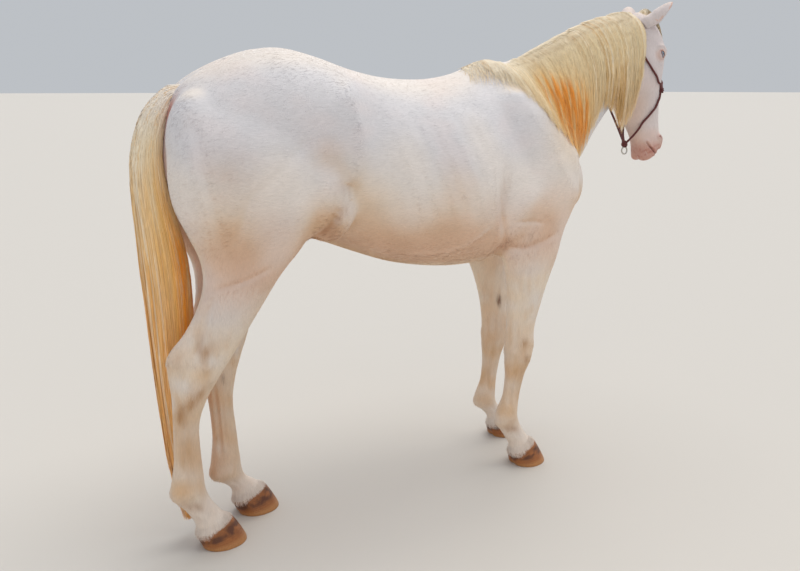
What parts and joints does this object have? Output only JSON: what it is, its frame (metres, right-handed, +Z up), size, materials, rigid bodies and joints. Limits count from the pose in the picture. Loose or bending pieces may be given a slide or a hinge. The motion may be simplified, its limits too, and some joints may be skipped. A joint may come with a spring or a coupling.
{
  "type": "horse",
  "caption": "Life-size standing cremello horse with long mane and tail, head lowered at rest, wearing a plain cord halter.",
  "frame": {"origin": "on the floor, under the middle of the horse's whole box, tail and muzzle included", "axes": "+X towards the head, +Y to the horse's left, +Z up"},
  "size_m": [2.138, 0.567, 1.7349],
  "materials": {
    "coat": "short hair, off-white, matt with a faint sheen",
    "hair": "long hair, cream to golden, silky",
    "hoof_horn": "amber brown horn with darker patches, satin",
    "eye": "wet, glossy, pale blue",
    "halter_cord": "dark red braided cord",
    "steel": "dull polished"
  },
  "bodies": {
    "root": {"head": "coat", "neck": "coat", "chest": "coat", "barrel": "coat", "hindquarters": "coat", "right_forearm": "coat", "left_forearm": "coat", "right_fore_cannon": "coat", "left_fore_cannon": "coat", "right_gaskin": "coat", "left_gaskin": "coat", "right_hind_cannon": "coat", "left_hind_cannon": "coat", "right_ear": "coat", "left_ear": "coat", "right_eye": "eye", "left_eye": "eye", "right_fore_hoof": "hoof_horn", "left_fore_hoof": "hoof_horn", "right_hind_hoof": "hoof_horn", "left_hind_hoof": "hoof_horn", "mane": "hair", "forelock": "hair", "tail_dock": "hair", "tail_switch": "hair", "tail_tip": "hair", "halter_nose_band": "halter_cord", "halter_crown": "halter_cord", "halter_heel_knot": "halter_cord", "halter_right_cheek_cord": "halter_cord", "halter_right_chin_cord": "halter_cord", "halter_right_throat_cord": "halter_cord", "halter_right_ear_knot": "halter_cord", "halter_right_nose_knot": "halter_cord", "halter_left_cheek_cord": "halter_cord", "halter_left_chin_cord": "halter_cord", "halter_left_throat_cord": "halter_cord", "halter_left_ear_knot": "halter_cord", "halter_left_nose_knot": "halter_cord", "halter_ring": "steel"}
  },
  "joints": []
}
